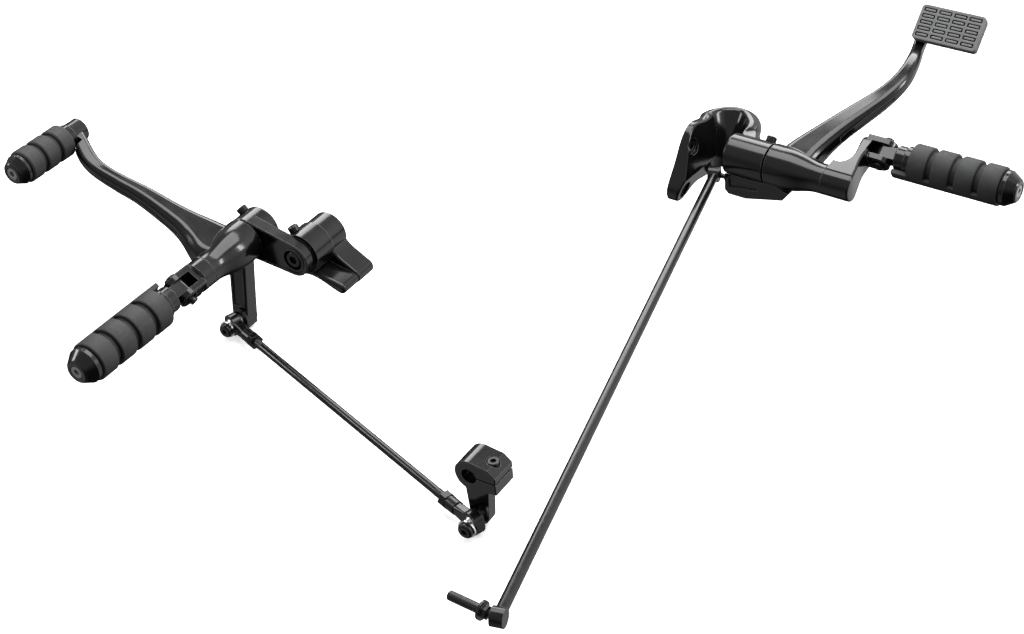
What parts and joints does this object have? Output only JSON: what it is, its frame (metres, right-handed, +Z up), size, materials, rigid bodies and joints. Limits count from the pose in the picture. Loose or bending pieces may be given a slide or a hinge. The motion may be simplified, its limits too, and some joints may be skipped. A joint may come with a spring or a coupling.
{
  "type": "motorcycle forward controls",
  "caption": "Forward-mounted foot controls for a cruiser motorcycle: brake pedal and shift lever on brackets with folding ringed foot pegs, linkage rods and a clamp arm.",
  "frame": {"origin": "centre of the brake bracket's upper frame bolt hole, on the face that meets the frame", "axes": "+X outboard along that hole on the brake side, +Y forward on the brake side, +Z up; the shift side lies beside it, turned about Z as laid out in the picture"},
  "size_m": [0.7828, 0.8402, 0.1755],
  "materials": {
    "cast_black": "gloss black powder coat",
    "forged_black": "gloss black",
    "black_rubber": "matt, slightly dusty",
    "black_steel": "satin black oxide",
    "bright_steel": "bare steel",
    "bronze": "sintered bronze"
  },
  "bodies": {
    "brackets": {"brake_bracket": "cast_black", "brake_boss_screw": "black_steel", "brake_peg_support": "forged_black", "brake_thrust_washer": "bright_steel", "brake_peg_pin": "black_steel", "brake_peg_clip": "black_steel", "shift_bracket": "cast_black", "shift_bracket_screw": "black_steel", "shift_link": "cast_black", "shift_link_bolt": "black_steel", "shift_link_screw": "black_steel", "shift_peg_support": "forged_black", "shift_thrust_washer": "bright_steel", "shift_peg_pin": "black_steel", "shift_peg_clip": "black_steel"},
    "brake_pedal_body": {"brake_pedal": "cast_black", "brake_pivot_bushes": "bronze", "brake_pedal_pad": "black_rubber", "brake_rod_front_stud": "black_steel"},
    "brake_rod_body": {"brake_rod": "black_steel"},
    "brake_rod_stud_body": {"brake_rod_rear_stud": "black_steel"},
    "brake_peg_body": {"brake_peg_core": "forged_black", "brake_peg_rubber": "black_rubber", "brake_peg_cap": "forged_black", "brake_peg_screw": "black_steel"},
    "shift_peg_body": {"shift_peg_core": "forged_black", "shift_peg_rubber": "black_rubber", "shift_peg_cap": "forged_black", "shift_peg_screw": "black_steel"},
    "shift_lever_body": {"shift_lever": "cast_black", "shift_pivot_bushes": "bronze", "toe_peg_core": "forged_black", "toe_peg_rubber": "black_rubber", "toe_peg_cap": "forged_black", "toe_peg_screw": "black_steel", "shift_rod_front_ball": "bright_steel", "shift_rod_front_bolt": "black_steel", "shift_rod_front_washer": "bright_steel"},
    "shift_rod_body": {"shift_rod": "black_steel", "shift_rod_front_end": "black_steel", "shift_rod_rear_end": "black_steel", "shift_rod_front_nut": "black_steel", "shift_rod_rear_nut": "black_steel"},
    "shaft_arm_body": {"shift_shaft_arm": "cast_black", "shaft_arm_pinch_bolt": "black_steel", "shift_rod_rear_ball": "bright_steel", "shift_rod_rear_bolt": "black_steel", "shift_rod_rear_washer": "bright_steel"}
  },
  "joints": [
    {"name": "brake_pedal_pivot", "type": "hinge", "parent": "brackets", "child": "brake_pedal_body", "pos_m": [0.087, 0.0195, -0.0085], "axis": [-1, 0, 0], "range_deg": [0, 15]},
    {"name": "brake_rod_front_joint", "type": "hinge", "parent": "brake_pedal_body", "child": "brake_rod_body", "pos_m": [0.028, 0.0155, -0.0355], "axis": [-1, 0, 0], "range_deg": [-18, 3]},
    {"name": "brake_rod_rear_joint", "type": "hinge", "parent": "brake_rod_body", "child": "brake_rod_stud_body", "pos_m": [0.20009, -0.59731, -0.0355], "axis": [0, 0, 1], "range_deg": [-4, 30]},
    {"name": "brake_peg_fold", "type": "hinge", "parent": "brackets", "child": "brake_peg_body", "pos_m": [0.179, 0.0735, 0.0007], "axis": [0, -0.848, -0.5299], "range_deg": [0, 85]},
    {"name": "shift_peg_fold", "type": "hinge", "parent": "brackets", "child": "shift_peg_body", "pos_m": [-0.26155, -0.44234, 0.0025], "axis": [-0.8466, -0.0503, 0.5299], "range_deg": [0, 85]},
    {"name": "shift_lever_pivot", "type": "hinge", "parent": "brackets", "child": "shift_lever_body", "pos_m": [-0.26701, -0.3505, 0.0025], "axis": [0.0593, -0.9982, 0], "range_deg": [-9, 9]},
    {"name": "shift_rod_front_joint", "type": "hinge", "parent": "shift_lever_body", "child": "shift_rod_body", "pos_m": [-0.26176, -0.38826, -0.0705], "axis": [0.0593, -0.9982, 0], "range_deg": [-11, 11]},
    {"name": "shift_rod_rear_joint", "type": "hinge", "parent": "shift_rod_body", "child": "shaft_arm_body", "pos_m": [0.09931, -0.49316, -0.0705], "axis": [0.0593, -0.9982, 0], "range_deg": [-15, 15]}
  ],
  "couplings": [
    {"joint": "brake_rod_front_joint", "follows": "brake_pedal_pivot", "ratio": -1},
    {"joint": "shift_rod_front_joint", "follows": "shift_lever_pivot", "ratio": -1},
    {"joint": "shift_rod_rear_joint", "follows": "shift_lever_pivot", "ratio": 1.505}
  ]
}
